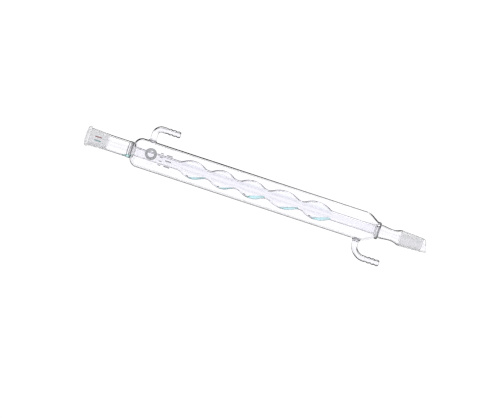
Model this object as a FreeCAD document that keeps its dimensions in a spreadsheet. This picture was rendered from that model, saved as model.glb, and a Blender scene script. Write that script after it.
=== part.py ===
"""Water-cooled bulb condenser: a Liebig jacket around a blown five-bulb inner tube.

All of it is borosilicate glass, fused by a glassblower out of tubing and two ground joints. Lengths are in
millimetres. The condenser's axis is X, from the upper socket to the lower cone, the origin is the centre
of the socket's mouth, and the coolant outlet arm stands up along +Z.
"""
import FreeCAD, Part
import math
import os
import Sketcher

doc = FreeCAD.newDocument("condenser")
sheet = doc.addObject("Spreadsheet::Sheet", "dim")

DRIVING_DIMENSIONS = {
    # standard 19/26 ground joints: the taper is 1 in 10 on diameter
    "joint_large_end": 18.8,
    "joint_small_end": 16.2,
    "joint_length": 26.0,
    "socket_mouth_od": 21.4,
    "socket_root_od": 19.4,
    "bead_length": 4.2,
    "bead_radius": 2.2,
    "mouth_bevel": 0.5,
    "cone_wall": 1.5,
    # clear tube between the socket and the upper ring seal
    "chamber_od": 19.2,
    "chamber_bore": 16.4,
    "chamber_length": 24.5,
    # upper ring seal
    "upper_seal_od": 19.8,
    "upper_seal_length": 5.0,
    "upper_seal_tail": 3.0,
    "seal_floor": 1.0,
    "seal_funnel_radius": 4.4,
    # coolant jacket
    "jacket_od": 35.0,
    "jacket_wall": 1.6,
    "jacket_length": 297.8,
    "upper_shoulder_radius": 10.0,
    "lower_shoulder_radius": 15.0,
    "lower_shoulder_slope": 0.6,
    # inner tube and its bulbs, upper to lower, blown by hand and so uneven
    "inner_od": 11.1,
    "inner_wall": 1.1,
    "upper_tube_length": 52.7,
    "bulb_od": 22.0,
    "bulb_neck_radius": 10.0,
    "bulb_one_length": 36.4,
    "bulb_two_length": 35.4,
    "bulb_three_length": 37.0,
    "bulb_four_length": 40.6,
    "bulb_five_length": 39.3,
    # lower ring seal
    "lower_seal_od": 20.6,
    "lower_seal_length": 3.7,
    "lower_seal_tail": 5.0,
    # waisted delivery tube between the lower ring seal and the cone
    "delivery_length": 25.0,
    "delivery_upper_od": 16.6,
    "waist_od": 14.0,
    "waist_place": 14.5,
    "waist_inflection": 0.5,
    "cone_inflection": 0.7,
    "delivery_wall": 1.4,
    # oblique fire-polished end below the cone
    "tip_long_side": 7.5,
    "tip_short_side": 3.0,
    "tip_od": 14.0,
    # hose arms
    "outlet_place": 74.9,
    "inlet_place": 334.1,
    "arm_od": 7.4,
    "arm_bore": 4.6,
    "foot_od": 11.4,
    "foot_rise": 3.6,
    "foot_lip": 0.6,
    "outlet_straight": 5.4,
    "outlet_bend_radius": 7.2,
    "outlet_run": 4.1,
    "inlet_straight": 0.4,
    "inlet_bend_radius": 14.4,
    "inlet_run": 1.8,
    "hose_tip_length": 17.4,
    "hose_tip_collar": 2.4,
    "hose_tip_valley_od": 6.4,
    "hose_barb_height": 0.75,
    # fired enamel marks
    "enamel_thickness": 0.1,
    "badge_place": 78.7,
    "badge_rise": 2.4,
    "badge_od": 14.0,
    "badge_width": 3.2,
    "jacket_dash_start": 89.4,
    "jacket_dash_length": 3.6,
    "jacket_dash_width": 1.2,
    "jacket_dash_pitch": 4.6,
    "jacket_bar_start": 96.6,
    "jacket_bar_length": 7.0,
    "jacket_bar_width": 1.5,
    "jacket_bar_pitch": 6.6,
    "socket_bar_start": 11.0,
    "socket_bar_length": 8.0,
    "socket_bar_width": 1.3,
    "socket_bar_pitch": 4.4,
}
HOSE_BARBS = 3
JACKET_DASHES = 4
JACKET_BARS = 3
SOCKET_BARS = 2
FULL_TURN = 360
BULBS = ["bulb_one_length", "bulb_two_length", "bulb_three_length", "bulb_four_length", "bulb_five_length"]

for row, (alias, number) in enumerate(DRIVING_DIMENSIONS.items(), start=1):
    sheet.set(f"A{row}", str(number))
    sheet.setAlias(f"A{row}", alias)
doc.recompute()


class Size:
    """A length, kept both as its number and as the formula that works it out from the spreadsheet."""

    def __init__(self, number, formula):
        self.number = number
        self.formula = formula

    def __add__(self, other):
        other = as_size(other)
        return Size(self.number + other.number, f"({self.formula} + {other.formula})")

    def __sub__(self, other):
        other = as_size(other)
        return Size(self.number - other.number, f"({self.formula} - {other.formula})")

    def __mul__(self, other):
        other = as_size(other)
        return Size(self.number * other.number, f"({self.formula} * {other.formula})")

    def __truediv__(self, other):
        other = as_size(other)
        return Size(self.number / other.number, f"({self.formula} / {other.formula})")

    def __neg__(self):
        return Size(-self.number, f"(0 - {self.formula})")

    def root(self):
        return Size(math.sqrt(self.number), f"sqrt({self.formula})")


def as_size(value):
    return value if isinstance(value, Size) else Size(float(value), str(float(value)))


def dim(alias):
    return Size(DRIVING_DIMENSIONS[alias], f"dim.{alias}")


# ---------------------------------------------------------------- places along the axis and shared radii

START = as_size(0)
SOCKET_END = dim("joint_length")
CHAMBER_END = SOCKET_END + dim("chamber_length")
JACKET_START = CHAMBER_END + dim("upper_seal_length")
INNER_START = JACKET_START + dim("upper_seal_tail")
JACKET_END = JACKET_START + dim("jacket_length")
INNER_END = JACKET_END - dim("lower_seal_tail")
LOWER_SEAL_END = JACKET_END + dim("lower_seal_length")
CONE_START = LOWER_SEAL_END + dim("delivery_length")
CONE_END = CONE_START + dim("joint_length")

JOINT_SLOPE = (dim("joint_large_end") - dim("joint_small_end")) / 2 / dim("joint_length")
JACKET_RADIUS = dim("jacket_od") / 2
INNER_RADIUS = dim("inner_od") / 2
INNER_BORE = INNER_RADIUS - dim("inner_wall")
CHAMBER_BORE = dim("chamber_bore") / 2
UPPER_SEAL_RADIUS = dim("upper_seal_od") / 2
LOWER_SEAL_RADIUS = dim("lower_seal_od") / 2
UPPER_MOUTH = UPPER_SEAL_RADIUS - dim("jacket_wall")
LOWER_SLANT = (dim("lower_shoulder_slope") * dim("lower_shoulder_slope") + 1).root()
LOWER_MOUTH = LOWER_SEAL_RADIUS - dim("jacket_wall") * LOWER_SLANT
DELIVERY_UPPER_BORE = dim("delivery_upper_od") / 2 - dim("delivery_wall")
CONE_UPPER_BORE = dim("joint_large_end") / 2 - dim("cone_wall")
CONE_LOWER_BORE = dim("joint_small_end") / 2 - dim("cone_wall")
TIP_BORE = dim("tip_od") / 2 - dim("cone_wall")
ARM_RADIUS = dim("arm_od") / 2
ARM_BORE = dim("arm_bore") / 2


# ---------------------------------------------------------------- drawing helpers

def new_body(name):
    body = doc.addObject("PartDesign::Body", name)
    body.Label = name
    return body


def new_sketch(body, name, plane_role):
    plane = next(p for p in body.Origin.OriginFeatures if p.Role == plane_role)
    sketch = body.newObject("Sketcher::SketchObject", name)
    sketch.AttachmentSupport = [(plane, "")]
    sketch.MapMode = "FlatFace"
    return sketch


def bind(sketch, constraint_type, where, size):
    """A dimension on the sketch, driven by the spreadsheet."""
    index = sketch.addConstraint(Sketcher.Constraint(constraint_type, *where, size.number))
    sketch.setExpression(f"Constraints[{index}]", size.formula)


def arc_between(start, end, radius, bow):
    """The minor arc from start to end. bow is +1 where it bows to the left of the way from start to end."""
    chord = end - start
    left = FreeCAD.Vector(-chord.y, chord.x, 0).normalize()
    centre = (start + end) / 2 - left * bow * math.sqrt(radius ** 2 - (chord.Length / 2) ** 2)
    first, last = (end, start) if bow > 0 else (start, end)
    angles = [math.atan2(p.y - centre.y, p.x - centre.x) for p in (first, last)]
    return Part.ArcOfCircle(Part.Circle(centre, FreeCAD.Vector(0, 0, 1), radius), *angles)


def draw(sketch, path, closed=True):
    """Draw lines and arcs through the path's corners and pin every corner and arc radius to the spreadsheet.

    A corner is (along, out), and (along, out, radius, bow) where an arc leads to it.
    """
    corners = [FreeCAD.Vector(p[0].number, p[1].number, 0) for p in path]
    count = len(path) if closed else len(path) - 1
    starts, ends = {}, {}
    for i in range(count):
        j = (i + 1) % len(path)
        if len(path[j]) == 4:
            radius, bow = path[j][2:]
            edge = sketch.addGeometry(arc_between(corners[i], corners[j], radius.number, bow), False)
            starts[i], ends[j] = ((edge, 2), (edge, 1)) if bow > 0 else ((edge, 1), (edge, 2))
            bind(sketch, "Radius", (edge,), radius)
        else:
            edge = sketch.addGeometry(Part.LineSegment(corners[i], corners[j]), False)
            starts[i], ends[j] = (edge, 1), (edge, 2)
    for i, corner in enumerate(path):
        if i in starts and i in ends:
            sketch.addConstraint(Sketcher.Constraint("Coincident", *ends[i], *starts[i]))
        point = starts.get(i) or ends.get(i)
        bind(sketch, "DistanceX", point, corner[0])
        bind(sketch, "DistanceY", point, corner[1])


def backwards(path):
    """The same corners and arcs, followed from the far end."""
    turned = [path[-1][:2]]
    for here, before in zip(path[:0:-1], path[-2::-1]):
        arc = (here[2], -here[3]) if len(here) == 4 else ()
        turned.append(before[:2] + arc)
    return turned


def turned_piece(body, name, outside, bore, axis="H_Axis"):
    """Revolve the wall between an outside and a bore, both given from the low end to the high end."""
    sketch = new_sketch(body, f"{name}_wall", "XZ_Plane")
    draw(sketch, outside + backwards(bore))
    piece = body.newObject("PartDesign::Revolution", f"{name}_turned")
    piece.Profile = sketch
    piece.ReferenceAxis = (sketch, [axis])
    piece.Angle = FULL_TURN
    return piece


def circle(sketch, along, out, radius):
    outline = Part.Circle(FreeCAD.Vector(0, 0, 0), FreeCAD.Vector(0, 0, 1), radius.number)
    edge = sketch.addGeometry(outline, False)
    bind(sketch, "Radius", (edge,), radius)
    bind(sketch, "DistanceX", (edge, 3), along)
    bind(sketch, "DistanceY", (edge, 3), out)


def removes_glass(body, feature, volume_before):
    doc.recompute()
    if body.Shape.Volume > volume_before - 1:
        raise RuntimeError(f"{feature.Name} cuts nothing from {body.Label}")


# ---------------------------------------------------------------- upper end

def make_socket():
    """Ground 19/26 socket with a beaded rim."""
    body = new_body("socket_joint")
    mouth = dim("joint_large_end") / 2
    bevel = dim("mouth_bevel")
    outer = dim("socket_mouth_od") / 2
    outside = [
        (START, outer),
        (dim("bead_length"), outer, dim("bead_radius"), 1),
        (SOCKET_END, dim("socket_root_od") / 2),
    ]
    bore = [
        (START, mouth + bevel),
        (bevel, mouth - bevel * JOINT_SLOPE),
        (SOCKET_END, dim("joint_small_end") / 2),
    ]
    turned_piece(body, "socket", outside, bore)


def make_chamber():
    """Clear tube where the vapour enters and the first drops collect."""
    body = new_body("vapour_chamber")
    radius = dim("chamber_od") / 2
    outside = [(SOCKET_END, radius), (CHAMBER_END, radius)]
    bore = [(SOCKET_END, CHAMBER_BORE), (CHAMBER_END, CHAMBER_BORE)]
    turned_piece(body, "chamber", outside, bore)


def make_upper_seal():
    """Thick ring of glass that joins the chamber, the jacket's shoulder and the inner tube."""
    body = new_body("upper_ring_seal")
    funnel_start = CHAMBER_END + dim("seal_floor")
    funnel_end = JACKET_START
    outside = [
        (CHAMBER_END, UPPER_SEAL_RADIUS),
        (JACKET_START, UPPER_SEAL_RADIUS),
        (JACKET_START, UPPER_MOUTH),
        (INNER_START, INNER_RADIUS, dim("upper_seal_tail"), -1),
    ]
    bore = [
        (CHAMBER_END, CHAMBER_BORE),
        (funnel_start, CHAMBER_BORE),
        (funnel_end, INNER_BORE, dim("seal_funnel_radius"), 1),
        (INNER_START, INNER_BORE),
    ]
    turned_piece(body, "upper_seal", outside, bore)


# ---------------------------------------------------------------- jacket and inner tube

def jacket_surface(depth):
    """Outside of the jacket, or its inside where depth is the wall.

    The upper shoulder is an arc from the seal to the cylinder. The lower one is an arc from the cylinder that
    runs on as a cone. Inside and outside arcs share their centres.
    """
    upper_centre_out = JACKET_RADIUS - dim("upper_shoulder_radius")
    upper_arc = dim("upper_shoulder_radius") - depth
    upper_centre = JACKET_START + across(dim("upper_shoulder_radius"), UPPER_SEAL_RADIUS - upper_centre_out)
    mouth_out = UPPER_SEAL_RADIUS - depth
    mouth = upper_centre - across(upper_arc, mouth_out - upper_centre_out)
    slope = dim("lower_shoulder_slope")
    arc_run = slope / LOWER_SLANT
    arc_fall = as_size(1) - as_size(1) / LOWER_SLANT
    lower_arc = dim("lower_shoulder_radius") - depth
    cone_fall = JACKET_RADIUS - dim("lower_shoulder_radius") * arc_fall - LOWER_SEAL_RADIUS
    lower_centre = JACKET_END - cone_fall / slope - dim("lower_shoulder_radius") * arc_run
    radius = JACKET_RADIUS - depth
    return [
        (mouth, mouth_out),
        (upper_centre, radius, upper_arc, 1),
        (lower_centre, radius),
        (lower_centre + lower_arc * arc_run, radius - lower_arc * arc_fall, lower_arc, 1),
        (JACKET_END, LOWER_SEAL_RADIUS - depth * LOWER_SLANT),
    ]


def across(radius, out):
    """How far along the axis an arc's end lies from its centre, when it is that far out from the centre."""
    return (radius * radius - out * out).root()


def make_jacket():
    """Coolant jacket with a shoulder at each end and a hole under each hose arm."""
    body = new_body("water_jacket")
    outside = jacket_surface(as_size(0))
    inside = [(JACKET_START, UPPER_MOUTH)] + jacket_surface(dim("jacket_wall"))
    turned_piece(body, "jacket", outside, inside)
    doc.recompute()
    for name, place, upwards in (("outlet", "outlet_place", True), ("inlet", "inlet_place", False)):
        solid_volume = body.Shape.Volume
        sketch = new_sketch(body, f"{name}_hole_outline", "XY_Plane")
        circle(sketch, dim(place), START, ARM_BORE)
        hole = body.newObject("PartDesign::Pocket", f"{name}_hole")
        hole.Profile = sketch
        hole.setExpression("Length", dim("jacket_od").formula)
        hole.Reversed = upwards
        removes_glass(body, hole, solid_volume)


def bulb_surface(depth):
    """Outside of the inner tube, or its bore where depth is the wall.

    Each bulb is one arc that runs into the necks beside it through small hollow arcs, all tangent.
    """
    neck_arc = dim("bulb_neck_radius")
    bulge = dim("bulb_od") / 2 - INNER_RADIUS
    neck = INNER_START + dim("upper_tube_length")
    path = [(INNER_START, INNER_RADIUS - depth), (neck, INNER_RADIUS - depth)]
    for alias in BULBS:
        half = dim(alias) / 2
        centres_apart = (half * half + bulge * bulge) / (bulge * 2)
        bulb_arc = centres_apart - neck_arc
        share = (bulb_arc - depth) / centres_apart
        bulb_centre_out = dim("bulb_od") / 2 - bulb_arc
        joint_out = bulb_centre_out + (INNER_RADIUS + neck_arc - bulb_centre_out) * share
        middle = neck + half
        path += [
            (middle - half * share, joint_out, neck_arc + depth, -1),
            (middle + half * share, joint_out, bulb_arc - depth, 1),
            (neck + dim(alias), INNER_RADIUS - depth, neck_arc + depth, -1),
        ]
        neck = neck + dim(alias)
    return path + [(INNER_END, INNER_RADIUS - depth)]


def make_bulb_tube():
    """Inner condensing tube, blown into five bulbs."""
    body = new_body("bulb_tube")
    turned_piece(body, "bulb_tube", bulb_surface(as_size(0)), bulb_surface(dim("inner_wall")))


# ---------------------------------------------------------------- lower end

def make_lower_seal():
    """Thick ring of glass that closes the jacket and widens the inner tube into the delivery tube."""
    body = new_body("lower_ring_seal")
    outside = [
        (INNER_END, INNER_RADIUS),
        (JACKET_END, LOWER_MOUTH),
        (JACKET_END, LOWER_SEAL_RADIUS),
        (LOWER_SEAL_END, LOWER_SEAL_RADIUS),
    ]
    bore = [
        (INNER_END, INNER_BORE),
        (LOWER_SEAL_END, DELIVERY_UPPER_BORE),
    ]
    turned_piece(body, "lower_seal", outside, bore)


def make_delivery_tube():
    """Waisted tube that leads the condensate to the cone."""
    body = new_body("delivery_tube")
    waist = LOWER_SEAL_END + dim("waist_place")

    def surface(upper, middle, lower):
        to_waist = eased(LOWER_SEAL_END, upper, waist, middle, dim("waist_inflection"))
        to_cone = eased(waist, middle, CONE_START, lower, dim("cone_inflection"))
        return [(LOWER_SEAL_END, upper)] + to_waist + to_cone

    outside = surface(dim("delivery_upper_od") / 2, dim("waist_od") / 2, dim("joint_large_end") / 2)
    bore = surface(DELIVERY_UPPER_BORE, dim("waist_od") / 2 - dim("delivery_wall"), CONE_UPPER_BORE)
    turned_piece(body, "delivery", outside, bore)


def eased(start, start_out, end, end_out, share):
    """Two tangent arcs that leave and arrive along the axis, and meet at a share of the way: an S."""
    run = end - start
    rise = end_out - start_out
    steep = rise if rise.number > 0 else -rise
    both_arcs = (run * run + rise * rise) / (steep * 2)
    bow = -1 if rise.number > 0 else 1
    return [
        (start + run * share, start_out + rise * share, both_arcs * share, bow),
        (end, end_out, both_arcs * (as_size(1) - share), -bow),
    ]


def make_cone():
    """Ground 19/26 cone."""
    body = new_body("cone_joint")
    outside = [(CONE_START, dim("joint_large_end") / 2), (CONE_END, dim("joint_small_end") / 2)]
    bore = [(CONE_START, CONE_UPPER_BORE), (CONE_END, CONE_LOWER_BORE)]
    turned_piece(body, "cone", outside, bore)


def make_drip_tip():
    """Short end below the cone, cut obliquely so that drops leave from its lowest point."""
    body = new_body("drip_tip")
    end = CONE_END + dim("tip_long_side")
    tip = dim("tip_od") / 2
    outside = [(CONE_END, dim("joint_small_end") / 2), (end, tip)]
    bore = [(CONE_END, CONE_LOWER_BORE), (end, TIP_BORE)]
    turned_piece(body, "tip", outside, bore)
    doc.recompute()
    whole_volume = body.Shape.Volume
    sketch = new_sketch(body, "oblique_cut_outline", "XZ_Plane")
    setback = dim("tip_long_side") - dim("tip_short_side")
    # the cut's edge runs on in the same line past both sides of the tip, as far again as the tip is wide
    beyond = dim("tip_od") * 1.5
    draw(sketch, [
        (end + setback, -beyond),
        (end + dim("tip_od"), -beyond),
        (end + dim("tip_od"), beyond),
        (end - setback - setback, beyond),
    ])
    cut = body.newObject("PartDesign::Pocket", "oblique_cut")
    cut.Profile = sketch
    cut.Midplane = True
    cut.setExpression("Length", (dim("tip_od") + dim("tip_od")).formula)
    removes_glass(body, cut, whole_volume)


# ---------------------------------------------------------------- hose arms

def place_arm(body, place, downwards):
    """Arms are drawn rising along Z from the condenser's axis; the inlet is the outlet rolled half a turn."""
    body.Placement = FreeCAD.Placement(
        FreeCAD.Vector(place.number, 0, 0), FreeCAD.Rotation(FreeCAD.Vector(1, 0, 0), 180 if downwards else 0)
    )
    body.setExpression("Placement.Base.x", place.formula)


def make_foot(name, place, downwards):
    """Flared foot that is fused to the jacket around its hole, shaped to the jacket's curve underneath."""
    body = new_body(name)
    sketch = new_sketch(body, f"{name}_wall", "XZ_Plane")
    top = JACKET_RADIUS + dim("foot_rise")
    bottom = JACKET_RADIUS - dim("jacket_wall")
    lip = JACKET_RADIUS + dim("foot_lip")
    foot = dim("foot_od") / 2
    flare = foot - ARM_RADIUS
    rise = top - lip
    curve = (flare * flare + rise * rise) / (flare * 2)
    draw(sketch, [
        (ARM_BORE, bottom),
        (foot, bottom),
        (foot, lip),
        (ARM_RADIUS, top, curve, 1),
        (ARM_BORE, top),
    ])
    piece = body.newObject("PartDesign::Revolution", f"{name}_turned")
    piece.Profile = sketch
    piece.ReferenceAxis = (sketch, ["V_Axis"])
    piece.Angle = FULL_TURN
    doc.recompute()
    whole_volume = body.Shape.Volume
    saddle_outline = new_sketch(body, f"{name}_saddle_outline", "XZ_Plane")
    draw(saddle_outline, [
        (-dim("foot_od"), START),
        (dim("foot_od"), START),
        (dim("foot_od"), JACKET_RADIUS),
        (-dim("foot_od"), JACKET_RADIUS),
    ])
    saddle = body.newObject("PartDesign::Groove", f"{name}_saddle")
    saddle.Profile = saddle_outline
    saddle.ReferenceAxis = (saddle_outline, ["H_Axis"])
    saddle.Angle = FULL_TURN
    removes_glass(body, saddle, whole_volume)
    place_arm(body, place, downwards)


def make_arm(name, place, straight, bend_radius, run, downwards):
    """Bent side tube, swept from the foot to the seam of the hose tip."""
    body = new_body(name)
    bottom = JACKET_RADIUS + dim("foot_rise")
    bend_start = bottom + straight
    route = new_sketch(body, f"{name}_route", "XZ_Plane")
    draw(route, [
        (START, bottom),
        (START, bend_start),
        (bend_radius, bend_start + bend_radius, bend_radius, 1),
        (bend_radius + run, bend_start + bend_radius),
    ], closed=False)
    section = new_sketch(body, f"{name}_section", "XY_Plane")
    section.setExpression("AttachmentOffset.Base.z", bottom.formula)
    circle(section, START, START, ARM_RADIUS)
    circle(section, START, START, ARM_BORE)
    tube = body.newObject("PartDesign::AdditivePipe", f"{name}_tube")
    tube.Profile = section
    tube.Spine = (route, ["Edge1", "Edge2", "Edge3"])
    place_arm(body, place, downwards)


def make_hose_tip(name, place, straight, bend_radius, run, downwards):
    """Barbed end for the hose, turned and then fused to the arm."""
    body = new_body(name)
    start = bend_radius + run
    height = JACKET_RADIUS + dim("foot_rise") + straight + bend_radius
    valley = dim("hose_tip_valley_od") / 2
    barb = (dim("hose_tip_length") - dim("hose_tip_collar")) / HOSE_BARBS
    crest = dim("hose_barb_height")
    barb_arc = (barb * barb / 4 + crest * crest) / (crest * 2)
    first_barb = start + dim("hose_tip_collar")
    outside = [(start, height + ARM_RADIUS), (first_barb, height + valley)]
    for count in range(1, HOSE_BARBS + 1):
        outside.append((first_barb + barb * count, height + valley, barb_arc, 1))
    end = start + dim("hose_tip_length")
    bore = [(start, height + ARM_BORE), (end, height + ARM_BORE)]
    sketch = new_sketch(body, f"{name}_wall", "XZ_Plane")
    draw(sketch, outside + backwards(bore))
    centre_line = sketch.addGeometry(
        Part.LineSegment(
            FreeCAD.Vector(start.number, height.number, 0), FreeCAD.Vector(end.number, height.number, 0)
        ),
        True,
    )
    for corner, along in ((1, start), (2, end)):
        bind(sketch, "DistanceX", (centre_line, corner), along)
        bind(sketch, "DistanceY", (centre_line, corner), height)
    piece = body.newObject("PartDesign::Revolution", f"{name}_turned")
    piece.Profile = sketch
    piece.ReferenceAxis = (sketch, ["Axis0"])
    piece.Angle = FULL_TURN
    place_arm(body, place, downwards)


# ---------------------------------------------------------------- enamel marks

def bound(kind, name, sizes, base):
    """A Part primitive whose sizes and place are bound to the spreadsheet."""
    primitive = doc.addObject(kind, name)
    for prop, size in sizes.items():
        primitive.setExpression(prop, size.formula)
    for letter, size in zip("xyz", base):
        primitive.setExpression(f"Placement.Base.{letter}", as_size(size).formula)
    return primitive


def enamel_skin(name, start, end, start_radius, end_radius):
    """Thin layer on a round piece of glass, from start to end along the axis."""
    along_x = FreeCAD.Rotation(FreeCAD.Vector(0, 1, 0), 90)
    layers = []
    for layer, extra in (("outer", dim("enamel_thickness")), ("inner", START)):
        sizes = {"Height": end - start}
        if start_radius.number == end_radius.number:
            kind = "Part::Cylinder"
            sizes["Radius"] = start_radius + extra
        else:
            kind = "Part::Cone"
            sizes["Radius1"] = start_radius + extra
            sizes["Radius2"] = end_radius + extra
        solid = doc.addObject(kind, f"{name}_{layer}")
        solid.Placement = FreeCAD.Placement(FreeCAD.Vector(start.number, 0, 0), along_x)
        solid.setExpression("Placement.Base.x", start.formula)
        for prop, size in sizes.items():
            solid.setExpression(prop, size.formula)
        layers.append(solid)
    skin = doc.addObject("Part::Cut", f"{name}_skin")
    skin.Base, skin.Tool = layers
    return skin


def stencil_bars(name, start, length, width, pitch, count, reach):
    """A row of plain bars, one above the other, standing on the -Y side."""
    bars = []
    for number in range(count):
        centre = pitch * (number - (count - 1) / 2)
        bars.append(
            bound(
                "Part::Box",
                f"{name}_bar_{number + 1}",
                {"Length": length, "Width": reach, "Height": width},
                (start, -reach, centre - width / 2),
            )
        )
    return bars


def enamel_node(name, skin, shapes):
    """The stretches of skin that lie under the stencil's shapes."""
    stencil = shapes[0]
    if len(shapes) > 1:
        stencil = doc.addObject("Part::MultiFuse", f"{name}_stencil")
        stencil.Shapes = shapes
    mark = doc.addObject("Part::Common", name)
    mark.Label = name
    mark.Base = skin
    mark.Tool = stencil
    return mark


def make_badge():
    """Plain ring of grey enamel near the jacket's upper end."""
    half = dim("badge_od") / 2
    skin = enamel_skin(
        "badge", dim("badge_place") - half, dim("badge_place") + half, JACKET_RADIUS, JACKET_RADIUS
    )
    towards_front = FreeCAD.Rotation(FreeCAD.Vector(1, 0, 0), 90)
    rounds = []
    for layer, radius in (("outer", half), ("inner", half - dim("badge_width"))):
        disc = doc.addObject("Part::Cylinder", f"badge_ring_{layer}")
        disc.Placement = FreeCAD.Placement(FreeCAD.Vector(0, 0, 0), towards_front)
        disc.setExpression("Radius", radius.formula)
        disc.setExpression("Height", dim("jacket_od").formula)
        disc.setExpression("Placement.Base.x", dim("badge_place").formula)
        disc.setExpression("Placement.Base.z", dim("badge_rise").formula)
        rounds.append(disc)
    ring = doc.addObject("Part::Cut", "badge_ring")
    ring.Base, ring.Tool = rounds
    return enamel_node("jacket_ring_mark", skin, [ring])


def make_jacket_column(kind, count):
    """A column of plain enamel strokes beside the ring mark."""
    start = dim(f"jacket_{kind}_start")
    length = dim(f"jacket_{kind}_length")
    width = dim(f"jacket_{kind}_width")
    pitch = dim(f"jacket_{kind}_pitch")
    skin = enamel_skin(f"jacket_{kind}", start, start + length, JACKET_RADIUS, JACKET_RADIUS)
    strokes = stencil_bars(f"jacket_{kind}", start, length, width, pitch, count, dim("jacket_od"))
    return enamel_node(f"jacket_{kind}_marks", skin, strokes)


def make_socket_bars():
    """Two plain enamel bars on the socket, whose outside tapers."""
    start = dim("socket_bar_start")
    end = start + dim("socket_bar_length")
    mouth = dim("socket_mouth_od") / 2
    taper = (mouth - dim("socket_root_od") / 2) / (SOCKET_END - dim("bead_length"))
    skin = enamel_skin(
        "socket_bars",
        start,
        end,
        mouth - taper * (start - dim("bead_length")),
        mouth - taper * (end - dim("bead_length")),
    )
    bars = stencil_bars(
        "socket",
        start,
        dim("socket_bar_length"),
        dim("socket_bar_width"),
        dim("socket_bar_pitch"),
        SOCKET_BARS,
        dim("jacket_od"),
    )
    return enamel_node("socket_bar_marks", skin, bars)


# ---------------------------------------------------------------- the whole condenser

make_socket()
make_chamber()
make_upper_seal()
make_jacket()
make_bulb_tube()
make_lower_seal()
make_delivery_tube()
make_cone()
make_drip_tip()
for arm, downwards in (("outlet", False), ("inlet", True)):
    place, straight, bend_radius, run = (
        dim(f"{arm}_{size}") for size in ("place", "straight", "bend_radius", "run")
    )
    make_foot(f"{arm}_foot", place, downwards)
    make_arm(f"coolant_{arm}_arm", place, straight, bend_radius, run, downwards)
    make_hose_tip(f"{arm}_hose_tip", place, straight, bend_radius, run, downwards)
marks = [
    make_badge(),
    make_jacket_column("dash", JACKET_DASHES),
    make_jacket_column("bar", JACKET_BARS),
    make_socket_bars(),
]
doc.recompute()

for item in doc.Objects:
    if {"Invalid", "Error"} & set(item.State):
        raise RuntimeError(f"{item.Name} is {item.State}")

os.makedirs("parts", exist_ok=True)
bodies = [item for item in doc.Objects if item.TypeId == "PartDesign::Body"]
for node in bodies + marks:
    if node.Shape.isNull() or not node.Shape.isValid():
        raise RuntimeError(f"{node.Label} has no valid shape")
    node.Shape.exportStep(f"parts/{node.Label}.step")
    print(node.Label, len(node.Shape.Solids), round(node.Shape.Volume))
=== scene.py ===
"""Looks of the bulb condenser: clear, ground and fused glass, teal condensate and enamel marks.

Shapes are worked out in millimetres along the condenser's axis, X, and become metres when a mesh is
made. A place or a width is the frame's wherever a node's box gives it.
"""
import math

import bmesh
import bpy
from mathutils import Matrix, Vector


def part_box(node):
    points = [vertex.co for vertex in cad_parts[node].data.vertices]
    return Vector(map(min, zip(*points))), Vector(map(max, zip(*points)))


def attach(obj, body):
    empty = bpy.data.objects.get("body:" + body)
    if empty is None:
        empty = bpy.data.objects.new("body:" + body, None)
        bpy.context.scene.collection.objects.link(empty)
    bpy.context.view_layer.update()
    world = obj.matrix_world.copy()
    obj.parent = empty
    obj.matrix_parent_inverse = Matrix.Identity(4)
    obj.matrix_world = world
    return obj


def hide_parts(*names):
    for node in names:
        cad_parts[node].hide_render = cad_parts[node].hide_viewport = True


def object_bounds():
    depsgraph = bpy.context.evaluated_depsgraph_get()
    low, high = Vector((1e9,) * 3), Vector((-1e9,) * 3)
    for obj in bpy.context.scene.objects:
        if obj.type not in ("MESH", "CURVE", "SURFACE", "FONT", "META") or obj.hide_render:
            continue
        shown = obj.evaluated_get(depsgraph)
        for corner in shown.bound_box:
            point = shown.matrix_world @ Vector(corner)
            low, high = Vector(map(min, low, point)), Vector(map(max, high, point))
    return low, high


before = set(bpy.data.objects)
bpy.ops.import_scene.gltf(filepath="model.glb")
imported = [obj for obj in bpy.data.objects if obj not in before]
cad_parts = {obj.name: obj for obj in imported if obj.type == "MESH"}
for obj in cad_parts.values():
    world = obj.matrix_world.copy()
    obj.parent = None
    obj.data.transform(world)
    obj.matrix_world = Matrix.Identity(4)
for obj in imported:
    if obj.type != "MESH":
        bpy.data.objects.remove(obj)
CAD_BOX = [list(corner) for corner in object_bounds()]

BODY = "root"
MM = 0.001

# ---------------------------------------------------------------- sizes from the frame, in mm


def span(node):
    """A node's first and last place along the axis."""
    low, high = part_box(node)
    return low.x / MM, high.x / MM


def outer_radius(node):
    low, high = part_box(node)
    return (high.y - low.y) / MM / 2


def reach(node):
    """How far a node goes from the axis, up or down."""
    low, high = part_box(node)
    return max(abs(low.z), abs(high.z)) / MM


def foot_place(node):
    """Where along the axis an arm's foot stands."""
    low, high = span(node)
    return (low + high) / 2


SOCKET_START, SOCKET_END = span("socket_joint")
CHAMBER_END = span("vapour_chamber")[1]
JACKET_START, JACKET_END = span("water_jacket")
INNER_START, INNER_END = span("bulb_tube")
LOWER_SEAL_END = span("lower_ring_seal")[1]
CONE_START, CONE_END = span("cone_joint")
TIP_END = span("drip_tip")[1]

JACKET_RADIUS = outer_radius("water_jacket")
CHAMBER_RADIUS = outer_radius("vapour_chamber")
UPPER_SEAL_RADIUS = outer_radius("upper_ring_seal")
LOWER_SEAL_RADIUS = outer_radius("lower_ring_seal")
BULB_RADIUS = outer_radius("bulb_tube")
CONE_RADIUS = outer_radius("cone_joint")
CONE_END_RADIUS = outer_radius("drip_tip")
ARM_RADIUS = outer_radius("coolant_outlet_arm")
BARB_RADIUS = outer_radius("outlet_hose_tip")
FOOT_RADIUS = outer_radius("outlet_foot")
BEAD_RADIUS = outer_radius("socket_joint")

# ---------------------------------------------------------------- sizes that no box gives, in mm

# walls and bores, as the glassblower's tubing has them
JACKET_WALL = 1.6
TUBE_WALL = 1.1
CHAMBER_WALL = 1.4
DELIVERY_WALL = 1.4
CONE_WALL = 1.5
ARM_BORE = 2.3

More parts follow.
